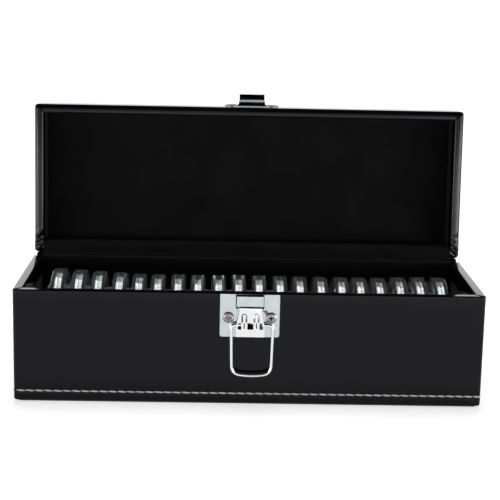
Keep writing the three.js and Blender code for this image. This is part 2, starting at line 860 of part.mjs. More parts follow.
piece("base_carcass", baseCarcass(), boardGrey);
piece("base_cover", baseCover(), leatherBlack);
piece("base_bottom_sheet", slab(bottomSheetInset, 0, bottomSheet), leatherBlack);
piece("base_lining", baseLining(), liningBlack);
piece("capsule_tray", capsuleTray(), clearPlastic);
capsules();
latch();
lid();
piece("hinge_leather", hingeLeather(), leatherBlack);
piece("hinge_lining", hingeLiningStrip(), liningBlack);

export default part;
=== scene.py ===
# %% [markdown]
# # A coin capsule box, piece by piece
# A long black box with a hinged lid, a chromed draw latch and a row of clear round capsules.
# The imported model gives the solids. This notebook loads them, reads their sizes, and makes each
# visible piece in their place, with a finish of its own.

# %% Load the solids
import json
import math

import bmesh
import bpy
from mathutils import Matrix, Vector, noise


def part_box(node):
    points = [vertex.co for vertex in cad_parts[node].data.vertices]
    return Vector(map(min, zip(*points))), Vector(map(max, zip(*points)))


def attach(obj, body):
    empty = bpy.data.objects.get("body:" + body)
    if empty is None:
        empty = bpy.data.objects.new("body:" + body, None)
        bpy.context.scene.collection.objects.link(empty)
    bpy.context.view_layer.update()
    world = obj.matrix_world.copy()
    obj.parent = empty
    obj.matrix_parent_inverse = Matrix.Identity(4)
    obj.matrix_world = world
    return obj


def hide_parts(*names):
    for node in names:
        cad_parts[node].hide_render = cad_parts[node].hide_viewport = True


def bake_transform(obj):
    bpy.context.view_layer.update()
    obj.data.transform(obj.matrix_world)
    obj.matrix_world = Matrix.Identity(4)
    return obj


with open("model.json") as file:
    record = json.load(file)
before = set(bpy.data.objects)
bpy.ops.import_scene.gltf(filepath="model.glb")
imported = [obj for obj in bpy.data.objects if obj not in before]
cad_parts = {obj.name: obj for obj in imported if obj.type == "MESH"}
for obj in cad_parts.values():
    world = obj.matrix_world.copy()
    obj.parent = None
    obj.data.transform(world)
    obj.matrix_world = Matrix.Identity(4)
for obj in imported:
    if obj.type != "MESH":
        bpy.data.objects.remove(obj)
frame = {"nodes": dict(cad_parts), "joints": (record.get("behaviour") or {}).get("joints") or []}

bpy.context.scene.view_settings.view_transform = "Standard"
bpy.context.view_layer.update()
solids = frame["nodes"]
print("solids loaded:", len(solids))

# %% [markdown]
# ## Sizes
# The solids are in metres, but a maker thinks of such a box in millimetres. Every size below is
# in millimetres, and each mesh is scaled once, when it is made. The large sizes are read from
# the solids, so the dressed pieces can't drift away from them.

# %% Sizes of the box, in millimetres
MM = 0.001


def size_of(node):
    low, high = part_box(node)
    return [(high[i] - low[i]) / MM for i in range(3)]


LENGTH, DEPTH, _ = size_of("base_cover")
BASE_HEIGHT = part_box("base_cover")[1].z / MM
LEATHER = 0.7
WALL = 5.0
LID_HEIGHT = 26.0
SEAM = 1.0
RIM_TURN = 9.0
joints = {joint["name"]: joint for joint in frame["joints"]}
HINGE = Vector(joints["lid_hinge"]["pos_m"]) / MM
OPEN_ANGLE = math.radians(joints["lid_hinge"]["range_deg"][1])
LID_RIM = BASE_HEIGHT + SEAM
LID_TOP = LID_RIM + LID_HEIGHT
FRONT = -DEPTH / 2
print(f"box {LENGTH:.1f} x {DEPTH:.1f} x {BASE_HEIGHT:.1f} mm, hinge line at {tuple(HINGE)}")

# %% [markdown]
# ## Camera
# The photograph was taken from just above the rim, a little left of centre. A camera fitted to
# the box's corners gives the place, the turn and the lens below. Blender's camera looks along
# its own -Z, so its matrix is written from the three directions right, up and back.

# %% Camera
CAMERA_PLACE = Vector((-0.01655, -0.70663, 0.2223))
CAMERA_YAW, CAMERA_PITCH, CAMERA_ROLL = (math.radians(a) for a in (1.373, 11.951, 1.251))
CAMERA_LENS, SENSOR_WIDTH = 97.6, 36


def in_scene(name, data):
    """A new object in the scene, from a mesh, a lamp or a camera."""
    made = bpy.data.objects.new(name, data)
    bpy.context.scene.collection.objects.link(made)
    return made


level = math.cos(CAMERA_PITCH)
ahead = Vector((math.sin(CAMERA_YAW) * level, math.cos(CAMERA_YAW) * level,
                -math.sin(CAMERA_PITCH)))
flat_right = Vector((math.cos(CAMERA_YAW), -math.sin(CAMERA_YAW), 0))
flat_up = flat_right.cross(ahead)
turn, tip = math.cos(CAMERA_ROLL), math.sin(CAMERA_ROLL)
right = turn * flat_right + tip * flat_up
up = turn * flat_up - tip * flat_right
lens = bpy.data.cameras.new("photo_camera")
lens.sensor_width, lens.lens = SENSOR_WIDTH, CAMERA_LENS
lens.clip_start, lens.clip_end = 0.01, 60
camera = in_scene("photo_camera", lens)
rotation = Matrix((right, up, -ahead)).transposed().to_4x4()
camera.matrix_world = Matrix.Translation(CAMERA_PLACE) @ rotation
bpy.context.scene.camera = camera
print("camera at", tuple(camera.location))

# %% [markdown]
# ## Helpers for materials
# Each finish is a small tree of nodes. Patterns are measured on Object coordinates, which are
# metres here, so a noise of scale 1000 has features of about a millimetre. A bump turns a
# pattern into small slopes that catch the light, without moving the surface.


# %% Material helpers
def linear(red, green, blue):
    """A colour as the eye knows it, 0 to 255, turned into the linear values of light."""
    shares = [value / 255 for value in (red, green, blue)]
    return (*(s / 12.92 if s <= 0.04045 else ((s + 0.055) / 1.055) ** 2.4 for s in shares), 1)


def feed(tree, socket, value):
    """Joins an input to another node's output, or sets it to a plain value."""
    if isinstance(value, bpy.types.NodeSocket):
        tree.links.new(value, socket)
    else:
        socket.default_value = value


def add_node(tree, kind, inputs=None, **settings):
    """Adds a node, feeds its inputs and returns its outputs."""
    node = tree.nodes.new(kind)
    for key, value in settings.items():
        setattr(node, key, value)
    for key, value in (inputs or {}).items():
        feed(tree, node.inputs[key], value)
    return node.outputs


class Finish:
    """A material under construction, with short calls for the nodes that finishes share."""

    def __init__(self, name):
        self.material = bpy.data.materials.new(name)
        self.material.use_nodes = True
        self.tree = self.material.node_tree
        self.where = self.add("TexCoord")["Object"]

    def add(self, kind, inputs=None, **settings):
        return add_node(self.tree, "ShaderNode" + kind, inputs, **settings)

    def speckle(self, scale, detail=3.0, roughness=0.55, stretch=None):
        where = self.where
        if stretch:
            where = self.add("Mapping", {"Vector": where, "Scale": stretch})["Vector"]
        return self.add("TexNoise", {"Vector": where, "Scale": scale, "Detail": detail,
                                     "Roughness": roughness})["Fac"]

    def cells(self, scale):
        return self.add("TexVoronoi", {"Vector": self.where, "Scale": scale},
                        feature="SMOOTH_F1")["Distance"]

    def spread(self, value, low, high, start=0.3, end=0.7):
        return self.add("MapRange", {"Value": value, "From Min": start, "From Max": end,
                                     "To Min": low, "To Max": high})["Result"]

    def blend(self, value, dark, light):
        return self.add("Mix", {"Factor": value, "A": linear(*dark), "B": linear(*light)},
                        data_type="RGBA")["Result"]

    def tones(self, pattern, dark, light, start=0.3, end=0.7):
        return self.blend(self.spread(pattern, 0, 1, start, end), dark, light)

    def relief(self, height, depth_mm, strength=1.0, below=None):
        inputs = {"Distance": depth_mm * MM, "Strength": strength, "Height": height}
        return self.add("Bump", inputs | ({"Normal": below} if below is not None else {}))["Normal"]

    def coat(self, **values):
        """Sets or joins the shader's inputs, and returns the finished material."""
        shader = self.tree.nodes["Principled BSDF"]
        for key, value in values.items():
            feed(self.tree, shader.inputs[key.replace("_", " ")], value)
        return self.material


# %% [markdown]
# ## Black leather-look sheet
# The cover is plastic sheet pressed with a fine pebble grain, near black with a cool tint. It
# has little gloss seen from the front and much more at a shallow angle, where the tops of the
# walls turn pale. A fine cell pattern makes the grain, a coarser noise creases it and varies its
# gloss, and a slow noise varies its tone.


# %% Leather finish
finish = Finish("black_leather_sheet")
patches, creases = finish.speckle(60, 2), finish.speckle(500, 4)
coarse = finish.relief(creases, 0.008, 0.2, finish.relief(patches, 0.12, 0.12))
leather = finish.coat(
    Base_Color=finish.tones(patches, (5, 6, 11), (9, 10, 16)), Specular_IOR_Level=0.2,
    Roughness=finish.spread(creases, 0.08, 0.16),
    Normal=finish.relief(finish.cells(1500), 0.008, 0.15, coarse))
print("finish:", leather.name)

# %% [markdown]
# ## Black lining
# Inside, the lid and the base are lined with a thin matt cloth, darker than the leather. Its
# fibres are too fine to see one by one, so a strong fine noise and a faint sheen stand for them.


# %% Lining finish
finish = Finish("black_lining_cloth")
fibres, folds = finish.speckle(2600, 5, 0.7), finish.speckle(45, 2)
lining = finish.coat(
    Base_Color=finish.tones(fibres, (8, 8, 9), (17, 17, 18), 0.35, 0.65),
    Roughness=finish.spread(folds, 0.75, 0.95), Specular_IOR_Level=0.1,
    Sheen_Weight=0.05, Sheen_Roughness=0.4,
    Normal=finish.relief(fibres, 0.08, 0.6, finish.relief(folds, 0.4, 0.15)))
print("finish:", lining.name)

# %% [markdown]
# ## Board, underside and thread
# The board is hidden under its covers, but the solids stay in the model, so it gets the brown
# fibre look of pressed board. The sheet glued underneath is a plainer, matt black paper cloth.
# The thread of the seam is off-white, with a twist along it.


# %% Board, underside and thread finishes
finish = Finish("pressed_board")
fibres = finish.speckle(900, 6, 0.7, (1, 1, 0.3))
board = finish.coat(Base_Color=finish.tones(fibres, (116, 96, 72), (158, 136, 108)),
                    Roughness=0.85, Normal=finish.relief(fibres, 0.1, 0.5))

finish = Finish("black_paper_cloth")
weave = finish.speckle(1800, 3, 0.6)
underside = finish.coat(Base_Color=finish.tones(weave, (20, 20, 21), (34, 34, 35)),
                        Roughness=0.8, Normal=finish.relief(weave, 0.08, 0.5))

finish = Finish("white_seam_thread")
twist = finish.speckle(2400, 2, 0.5, (1, 1, 2.5))
thread = finish.coat(Base_Color=finish.blend(twist, (176, 177, 176), (236, 236, 232)),
                     Roughness=0.7, Sheen_Weight=0.1, Normal=finish.relief(twist, 0.12, 0.6))
print("finishes:", board.name, underside.name, thread.name)

# %% [markdown]
# ## Chrome
# The latch is pressed steel with bright plating. Plating of this kind is never a perfect mirror:
# the pressed sheet under it is slightly wavy, and the surface carries hairline scratches. The
# lever and the wire are brightest, the plate is satin, and the screws and the hook are grey.


# %% Chrome finish
def chrome_finish(name, dull, bright, low_gloss, high_gloss):
    finish = Finish(name)
    haze = finish.speckle(220, 3)
    waves = finish.relief(finish.speckle(130, 1), 0.25, 0.1)
    return finish.coat(
        Base_Color=finish.blend(haze, dull, bright), Metallic=1.0,
        Roughness=finish.spread(haze, low_gloss, high_gloss),
        Normal=finish.relief(finish.speckle(900, 4, 0.7, (6, 1, 1)), 0.004, 0.3, waves))


chrome = chrome_finish("bright_chrome", (242, 244, 244), (252, 254, 254), 0.08, 0.16)
nickel = chrome_finish("satin_plate", (203, 211, 213), (214, 222, 224), 0.14, 0.24)
dull_steel = chrome_finish("dull_steel", (138, 131, 135), (168, 161, 164), 0.3, 0.42)
grey_steel = chrome_finish("grey_steel", (112, 117, 119), (152, 156, 158), 0.12, 0.26)
print("finishes:", chrome.name, nickel.name, dull_steel.name, grey_steel.name)

# %% [markdown]
# ## Clear plastics
# The capsules are moulded in clear plastic and the tray is formed from clear sheet. Both let
# nearly all light through, but handling and the mould leave a faint milkiness that shows as
# grey against the black lining. The small part of the light that does not pass is scattered.


# %% Clear plastic finishes
def clear_finish(name, passing, low_gloss, high_gloss, tint):
    finish = Finish(name)
    marks = finish.speckle(320, 4, 0.6)
    ripple = finish.relief(finish.speckle(70, 1), 0.2, 0.1)
    return finish.coat(Base_Color=linear(*tint), IOR=1.49, Transmission_Weight=passing,
                       Roughness=finish.spread(marks, low_gloss, high_gloss, 0.35),
                       Normal=finish.relief(marks, 0.01, 0.2, ripple))


capsule_plastic = clear_finish("clear_capsule_plastic", 0.97, 0.02, 0.06, (244, 248, 249))
tray_plastic = clear_finish("clear_tray_sheet", 0.78, 0.1, 0.22, (232, 236, 236))
print("finishes:", capsule_plastic.name, tray_plastic.name)

# %% [markdown]
# ## Helpers for meshes
# Many pieces are sheets that follow the outline of the box. Their cross-section is a short list
# of points, each an inset from the outline and a height. Rounding the corners of that list and
# carrying it round the outline gives leather-wrapped edges without any modelling by hand.


# %% Mesh helpers
MERGE = 0.002
SHARP = 35


def rounded(points, radii, steps=4, closed=False):
    """A list of 2D points with each corner eased by its radius."""
    result = []
    count = len(points)
    for i, point in enumerate(points):
        here = Vector(point)
        if not radii[i] or (not closed and i in (0, count - 1)):
            result.append(tuple(here))
            continue
        before, after = Vector(points[i - 1]) - here, Vector(points[(i + 1) % count]) - here
        half_angle = before.angle(after) / 2
        reach = min(radii[i] / math.tan(half_angle), before.length / 2, after.length / 2)
        start, end = here + before.normalized() * reach, here + after.normalized() * reach
        for step in range(steps + 1):
            t = step / steps
            result.append(tuple((1 - t) ** 2 * start + 2 * t * (1 - t) * here + t ** 2 * end))
    return result


def divided(points, longest, closed=False):
    """The same list with long stretches cut into equal parts."""
    result = []
    ends = points[1:] + (points[:1] if closed else [])
    for start, end in zip(points, ends):
        start, end = Vector(start), Vector(end)
        parts = max(1, math.ceil((end - start).length / longest))
        result += [tuple(start.lerp(end, part / parts)) for part in range(parts)]
    return result if closed else result + [tuple(points[-1])]


def settle(made, mesh, sharp_degrees=SHARP):
    """Turns the faces outwards and smooths all but the sharp edges, and fills the mesh."""
    bmesh.ops.recalc_face_normals(made, faces=made.faces)
    for face in made.faces:
        face.smooth = True
    made.to_mesh(mesh)
    made.free()
    mesh.set_sharp_from_angle(angle=math.radians(sharp_degrees))


def mesh_of(name, points, edges=(), faces=()):
    """A mesh from points in millimetres."""
    mesh = bpy.data.meshes.new(name)
    mesh.from_pydata([Vector(p) * MM for p in points], edges, faces)
    return mesh


def new_piece(name, points, faces, place=None):
    """A piece from points in millimetres, merged, with its faces turned outwards."""
    mesh = mesh_of(name, points, faces=faces)
    if place is not None:
        mesh.transform(place)
    made = bmesh.new()
    made.from_mesh(mesh)
    bmesh.ops.remove_doubles(made, verts=made.verts, dist=MERGE * MM)
    bmesh.ops.dissolve_degenerate(made, edges=made.edges, dist=MERGE * MM)
    settle(made, mesh)
    return in_scene(name, mesh)


def woven(rows, count, closed=False, ring=True):
    """The four-sided faces of a net, which join each row of points to the next."""
    return [(row * count + i, row * count + (i + 1) % count,
             (row + 1) % rows * count + (i + 1) % count, (row + 1) % rows * count + i)
            for row in range(rows if closed else rows - 1)
            for i in range(count if ring else count - 1)]


def applied(piece):
    """Turns what the modifiers make into a plain mesh, and removes them."""
    bpy.context.view_layer.update()
    seen = piece.evaluated_get(bpy.context.evaluated_depsgraph_get())
    mesh = bpy.data.meshes.new_from_object(seen)
    mesh.name = piece.name
    piece.modifiers.clear()
    piece.data = mesh
    return piece


def dress(piece, body, material, slot_name, *replaced):
    """Gives a piece its finish, and says what it rides on and stands for. slot_name is not used."""
    piece.data.materials.clear()
    piece.data.materials.append(material)
    if replaced:
        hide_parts(*replaced)
    if body:
        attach(piece, body)


def report(*pieces):
    for piece in pieces:
        print(piece.name, len(piece.data.polygons), "faces")


# %% [markdown]
# ## The outline of the box
# Seen from above, the box is a rectangle with tight corners. Drawn in by an inset, its corners
# tighten until they are sharp. Every inset has the same number of points, so neighbouring rows
# join with plain quads. The points lie closer together near the corners, where the sheet folds.

# %% Outline and sweep
CORNER_RADIUS = 1.9
TIGHTEST = 0.35
CORNER_STEPS, LONG_STEPS, SHORT_STEPS = 7, 84, 54


def eased(share):
    """Spacing along a side that is finer towards both of its ends."""
    return 0.45 * share + 0.55 * (1 - math.cos(math.pi * share)) / 2


def outline(inset):
    half_x, half_y = LENGTH / 2 - inset, DEPTH / 2 - inset
    radius = min(max(CORNER_RADIUS - inset, TIGHTEST), half_y)
    centres = [(half_x - radius, radius - half_y, -90), (half_x - radius, half_y - radius, 0),
               (radius - half_x, half_y - radius, 90), (radius - half_x, radius - half_y, 180)]
    points = []
    for i, (x, y, start) in enumerate(centres):
        for step in range(CORNER_STEPS + 1):
            angle = math.radians(start + 90 * step / CORNER_STEPS)
            points.append(Vector((x + radius * math.cos(angle), y + radius * math.sin(angle))))
        x_next, y_next, turn = centres[(i + 1) % 4]
        angle = math.radians(turn)
        end = Vector((x_next + radius * math.cos(angle), y_next + radius * math.sin(angle)))
        begin = points[-1].copy()
        steps = SHORT_STEPS if i % 2 == 0 else LONG_STEPS
        points += [begin.lerp(end, eased(step / steps)) for step in range(1, steps)]
    return points


def wrap(name, rows, closed=False, shape=None, place=None):
    """Carries rows of (inset, height) round the outline. shape may move each point a little."""
    points = []
    for inset, height in rows:
        for flat in outline(inset):
            point = Vector((flat.x, flat.y, height))
            points.append(shape(point, inset, height) if shape else point)
    return new_piece(name, points, woven(len(rows), len(outline(0)), closed), place)


OPEN = (Matrix.Translation(HINGE * MM) @ Matrix.Rotation(-OPEN_ANGLE, 4, "X")
        @ Matrix.Translation(-HINGE * MM))
print("points round the outline:", len(outline(0)))

# %% [markdown]
# ## Folds in the sheet
# Where the sheet turns over the rim, each corner has a mitred fold: one side laps a little over
# the other along the diagonal. At the lid's hinge corners there is sheet to spare, and it
# gathers in small glossy wrinkles. Both are small moves of the points near the corners.

# %% Folds
FOLD_STEP = 0.22
WRINKLE = 0.55


def soft_step(value, low, high):
    share = min(max((value - low) / (high - low), 0), 1)
    return share * share * (3 - 2 * share)


def off_diagonal(point):
    """How far a point lies towards the end wall from the diagonal of its corner."""
    return (abs(point.x) - LENGTH / 2) - (abs(point.y) - DEPTH / 2)


def mitred(point, rim_height, outwards, height):
    """Lifts the rim of the end walls, which lap over the long walls at the corners."""
    on_rim = 1 - soft_step(abs(height - rim_height), 0.6, 2.2)
    lap = soft_step(off_diagonal(point), -0.35, 0.1) * on_rim
    return point + Vector((0, 0, outwards * FOLD_STEP * lap))


def gathered(point, inset, height):
    """Wrinkles at the two hinge corners of the lid, strongest at the very corner."""
    reach = (Vector((abs(point.x), point.y)) - Vector((LENGTH / 2, DEPTH / 2))).length
    amount = (1 - soft_step(reach, 5, 17)) * (1 - soft_step(height - LID_RIM, 2.5, 6))
    if not amount or inset > WALL + 0.01:
        return point
    ridges = 1 - abs(2 * noise.noise(Vector((point.x * 0.55, point.y * 0.3, height * 0.4)))) * 1.6
    fine = noise.noise(point * 0.9 + Vector((7, 3, 1)))
    size = WRINKLE * amount * (ridges * 0.7 + fine * 0.6)
    side = Vector((math.copysign(1, point.x) * (inset < 0.4), 0, 0)) * 0.5
    return point + (Vector((0, 0, -1)) + side) * size


def base_folds(point, inset, height):
    if inset > 8 or height < BASE_HEIGHT - 4:
        return point
    return mitred(point, BASE_HEIGHT, 1, height)


def lid_folds(point, inset, height):
    if height > LID_RIM + 7 or inset > 8:
        return point
    return gathered(mitred(point, LID_RIM, -1, height), inset, height)


# %% [markdown]
# ## The cover of the base
# One sheet wraps the walls: it starts under the bottom, climbs the wall, rolls over the rim and
# ends a little way down inside. A shallow channel near the foot is where the seam pulls the
# sheet in.

# %% Cover of the base
SEAM_HEIGHT = 6.2
BOTTOM = 0.9
wall_foot = [(0, SEAM_HEIGHT - 1.5), (0.06, SEAM_HEIGHT - 0.8), (0.24, SEAM_HEIGHT),
             (0.06, SEAM_HEIGHT + 0.8), (0, SEAM_HEIGHT + 1.5)]
base_corners = [
    (10, BOTTOM), (0, BOTTOM), *wall_foot, (0, BASE_HEIGHT), (WALL, BASE_HEIGHT),
    (WALL, BASE_HEIGHT - RIM_TURN), (WALL - LEATHER, BASE_HEIGHT - RIM_TURN),
    (WALL - LEATHER, BASE_HEIGHT - LEATHER), (LEATHER, BASE_HEIGHT - LEATHER),
    (LEATHER, BOTTOM + LEATHER), (10, BOTTOM + LEATHER),
]
base_radii = [0.1, 1.3, 0, 0, 0, 0, 0, 0.75, 0.85, 0.15, 0.15, 0.3, 0.3, 0.7, 0.1]
base_rows = divided(rounded(base_corners, base_radii, closed=True), 6, closed=True)
base_leather = wrap("base_leather", base_rows, closed=True, shape=base_folds)
dress(base_leather, "base", leather, "black_leather", "base_cover")
report(base_leather)

# %% [markdown]
# ## The cover of the lid
# The lid is made the same way, upside down: the sheet also covers the whole top panel. The
# rows start at the middle of the panel, run out to its edge, round the wall and the rim, and
# come back along the inner side, so that the sheet is one closed skin. It is drawn closed, and
# then turned open about the hinge line.

# %% Cover of the lid
middle = DEPTH / 2
lid_corners = [
    (middle, LID_TOP), (0, LID_TOP), (0, LID_RIM), (WALL, LID_RIM), (WALL, LID_RIM + RIM_TURN),
    (WALL - LEATHER, LID_RIM + RIM_TURN), (WALL - LEATHER, LID_RIM + LEATHER),
    (LEATHER, LID_RIM + LEATHER), (LEATHER, LID_TOP - LEATHER), (middle, LID_TOP - LEATHER),
]
lid_radii = [0, 1.6, 2.4, 1.0, 0.15, 0.15, 0.3, 0.3, 1.1, 0]
lid_rows = divided(rounded(lid_corners, lid_radii), 5)
lid_leather = wrap("lid_leather", lid_rows, shape=lid_folds, place=OPEN)
dress(lid_leather, "lid", leather, "black_leather", "lid_cover")
report(lid_leather)

# %% [markdown]
# ## The lined panel in the lid
# A thin board wrapped in lining closes the inside of the lid. Its edges are soft, and it swells
# very slightly towards its middle, as glued cloth does.

# %% Panel in the lid
PANEL_INSET = 5.2
PANEL_LOW, PANEL_THICK = 79.8, 2.0
panel_corners = [
    (middle, PANEL_LOW), (PANEL_INSET, PANEL_LOW), (PANEL_INSET, PANEL_LOW + PANEL_THICK),
    (middle, PANEL_LOW + PANEL_THICK),
]


def swelling(point, inset, height):
    if height > PANEL_LOW + 0.7:
        return point
    lift = soft_step(inset, PANEL_INSET, PANEL_INSET + 14)
    ripple = noise.noise(Vector((point.x * 0.02, point.y * 0.04, 0)))
    return point + Vector((0, 0, -0.25 * lift - 0.2 * lift * ripple))


panel_rows = divided(rounded(panel_corners, [0, 0.8, 0.4, 0]), 5)
lid_panel = wrap("lid_panel", panel_rows, shape=swelling, place=OPEN)
dress(lid_panel, "lid", lining, "black_lining", "lid_pad")
report(lid_panel)

# %% [markdown]
# ## Strips over the hinge
# This box has no metal hinge. A strip of the leather-look sheet joins lid and base along the
# back, and a strip of lining covers the joint inside. Each strip is drawn in cross-section and
# carried along the box.

# %% Strips over the hinge
STRIP_STEPS = 70
LINING = 0.5
LEATHER_ENDS, LEATHER_REACH = 1.5, 12
CLOTH_ENDS, CLOTH_STAND, CLOTH_DROP, CLOTH_CLIMB = 0.3, 0.55, 14, 15.5
CLOTH_FOLD, CLOTH_DEPTH, CLOTH_GAP = 1.7, 6.55, 0.05


def on_lid(y, z):
    """A point of the open lid, given about the hinge line as if the lid were closed."""
    swung = Matrix.Rotation(-OPEN_ANGLE, 2) @ Vector((y, z))
    return HINGE.y + swung.x, HINGE.z + swung.y


def strip(name, line, thickness, half_length, waver=0.0):
    """A sheet whose middle follows a line in depth and height, carried along the box."""
    points = [Vector(p) for p in line]
    vertices = []
    for step in range(STRIP_STEPS + 1):
        x = half_length * (2 * step / STRIP_STEPS - 1)
        for side in (0.5, -0.5):
            ordered = range(len(points)) if side > 0 else reversed(range(len(points)))
            for i in ordered:
                along = points[min(i + 1, len(points) - 1)] - points[max(i - 1, 0)]
                across = Vector((-along.y, along.x)).normalized()
                wave = waver * noise.noise(Vector((x * 0.06, i * 0.35, 0)))
                flat = points[i] + across * (side * thickness + wave)
                vertices.append((x, flat.x, flat.y))
    ring = 2 * len(points)
    ends = [tuple(first + i for i in range(ring)) for first in (0, STRIP_STEPS * ring)]
    return new_piece(name, vertices, woven(STRIP_STEPS + 1, ring) + ends)


half_sheet = LEATHER / 2
leather_half, cloth_half = LENGTH / 2 - LEATHER_ENDS, LENGTH / 2 - WALL - CLOTH_ENDS
back_line = [(HINGE.y - half_sheet, BASE_HEIGHT - LEATHER_REACH),
             (HINGE.y - half_sheet, HINGE.z + half_sheet),
             on_lid(-half_sheet, LEATHER_REACH)]
back_line = divided(rounded(back_line, [0, 1.2, 0], 8), 1.2)
hinge_leather = strip("hinge_strip_leather", back_line, LEATHER, leather_half)
dress(hinge_leather, None, leather, "black_leather", "hinge_leather")
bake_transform(hinge_leather)

inside, over = DEPTH / 2 - WALL - CLOTH_STAND, BASE_HEIGHT + CLOTH_STAND
inner_line = [
    (inside, BASE_HEIGHT - CLOTH_DROP), (inside, over), (DEPTH / 2 - WALL / 2, over),
    on_lid(-CLOTH_FOLD, -CLOTH_GAP), on_lid(-CLOTH_DEPTH, -CLOTH_GAP),
    on_lid(-CLOTH_DEPTH, CLOTH_CLIMB),
]
inner_line = divided(rounded(inner_line, [0, 0.8, 1, 1, 1, 0], 5), 1.2)
hinge_cloth = strip("hinge_strip_lining", inner_line, LINING, cloth_half, 0.12)
dress(hinge_cloth, None, lining, "black_lining", "hinge_lining")
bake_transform(hinge_cloth)
report(hinge_leather, hinge_cloth)

# %% [markdown]
# ## Solids that are already right
# The board, the lining of the base and of the lid's walls, and the sheet underneath are plain
# flat pieces. Their solids have the right shape, so they only take a finish.

# %% Finishes on solids
for node, material in {
    "base_carcass": board, "lid_carcass": board, "base_lining": lining,
    "lid_lining": lining, "base_bottom_sheet": underside,
}.items():
    solids[node].data.materials.clear()
    solids[node].data.materials.append(material)
print("dressed solids: 5")

# %% [markdown]
# ## Geometry Nodes for turned parts
# Capsule halves, screw blanks, rivets and the pin are all turned shapes: a profile spun about
# an axis. One node tree does it. It takes the profile as a row of points, lays a grid over it,
# and moves each grid point to its radius and angle. Named inputs set the number of sides and
# where the part stands.


# %% Node tree helpers
class Recipe:
    """A Geometry Nodes tree under construction."""

    def __init__(self, name, inputs):
        self.tree = bpy.data.node_groups.new(name, "GeometryNodeTree")
        face = self.tree.interface
        for way in ("INPUT", "OUTPUT"):
            face.new_socket("Geometry", in_out=way, socket_type="NodeSocketGeometry")
        for label, kind, default in inputs:
            socket = face.new_socket(label, in_out="INPUT", socket_type="NodeSocket" + kind)
            if default is not None:
                socket.default_value = default
        self.given = self.tree.nodes.new("NodeGroupInput").outputs

    def __getitem__(self, label):
        return self.given[label]

    def node(self, kind, inputs=None, **settings):
        return add_node(self.tree, kind, inputs, **settings)

    def geo(self, kind, inputs=None, **settings):
        return self.node("GeometryNode" + kind, inputs, **settings)

    def number(self, operation, first, second=0.0):
        return self.node("ShaderNodeMath", {0: first, 1: second}, operation=operation)[0]

    def times(self, first, second):
        return self.number("MULTIPLY", first, second)

    def vector(self, x=0.0, y=0.0, z=0.0):
        return self.node("ShaderNodeCombineXYZ", {0: x, 1: y, 2: z})[0]

    def finish_with(self, geometry):
        solid = self.geo("RealizeInstances", {"Geometry": geometry})
        coat = self.geo("SetMaterial", {"Geometry": solid[0], "Material": self["Material"]})
        feed(self.tree, self.tree.nodes.new("NodeGroupOutput").inputs[0], coat[0])
        return self


def follow(recipe, name, source, **values):
    """Runs a recipe on a source mesh, with its inputs set, and returns the plain piece."""
    piece = in_scene(name, source)
    modifier = piece.modifiers.new(recipe.tree.name, "NODES")
    modifier.node_group = recipe.tree
    keys = {item.name: item.identifier for item in recipe.tree.interface.items_tree
            if item.item_type == "SOCKET" and item.in_out == "INPUT"}
    for label, value in values.items():
        modifier[keys[label.replace("_", " ")]] = value
    return applied(piece)


# %% The turning recipe
def turning_recipe():
    recipe = Recipe("turned_part", [
        ("Profile Points", "Int", 8), ("Sides", "Int", 64), ("Material", "Material", None),
        ("Lean", "Float", 0.0), ("Place", "Vector", (0, 0, 0)),
    ])
    rows = recipe.number("ADD", recipe["Sides"], 1)
    grid = recipe.geo("MeshGrid", {"Vertices X": recipe["Profile Points"], "Vertices Y": rows})
    index = recipe.geo("InputIndex")[0]
    step = recipe.number("FLOOR", recipe.number("DIVIDE", index, rows))
    turn = recipe.number("SUBTRACT", index, recipe.times(step, rows))
    angle = recipe.times(recipe.number("DIVIDE", turn, recipe["Sides"]), 2 * math.pi)
    profile = recipe.geo("SampleIndex", {
        "Geometry": recipe["Geometry"], "Index": step,
        "Value": recipe.geo("InputPosition")[0]}, data_type="FLOAT_VECTOR")
    radius, along, _ = recipe.node("ShaderNodeSeparateXYZ", {0: profile[0]})
    spun = recipe.vector(along, recipe.times(radius, recipe.number("SINE", angle)),
                         recipe.times(radius, recipe.number("COSINE", angle)))
    moved = recipe.geo("SetPosition", {"Geometry": grid[0], "Position": spun})
    merged = recipe.geo("MergeByDistance", {"Geometry": moved[0], "Distance": MERGE * MM})
    placed = recipe.geo("Transform", {
        "Geometry": merged[0], "Translation": recipe["Place"],
        "Rotation": recipe.vector(y=recipe["Lean"])})
    return recipe.finish_with(placed[0])


turning = turning_recipe()


def turned(name, profile, sides, material, lean, place):
    """Turns a profile, rows of (radius, place along the axis), and stands it at its place."""
    row = bpy.data.meshes.new(name)
    row.from_pydata([(radius * MM, along * MM, 0) for radius, along in profile], [], [])
    return face_outwards(follow(turning, name, row, Profile_Points=len(profile), Sides=sides,
                                Material=material, Lean=lean, Place=place))


def face_outwards(piece, sharp_degrees=SHARP):
    made = bmesh.new()
    made.from_mesh(piece.data)
    settle(made, piece.data, sharp_degrees)
    return piece


print("recipe:", turning.tree.name)

# %% [markdown]
# ## Capsules
# Each capsule is two shallow dishes that snap together: a flat face, an eased edge and a rim
# where the halves meet. One half carries a thin ring that enters the other. The
# profiles repeat the solids' sizes with eased corners, and each capsule leans and stands as
# its solid does, so the row keeps the small disorder of the real one.

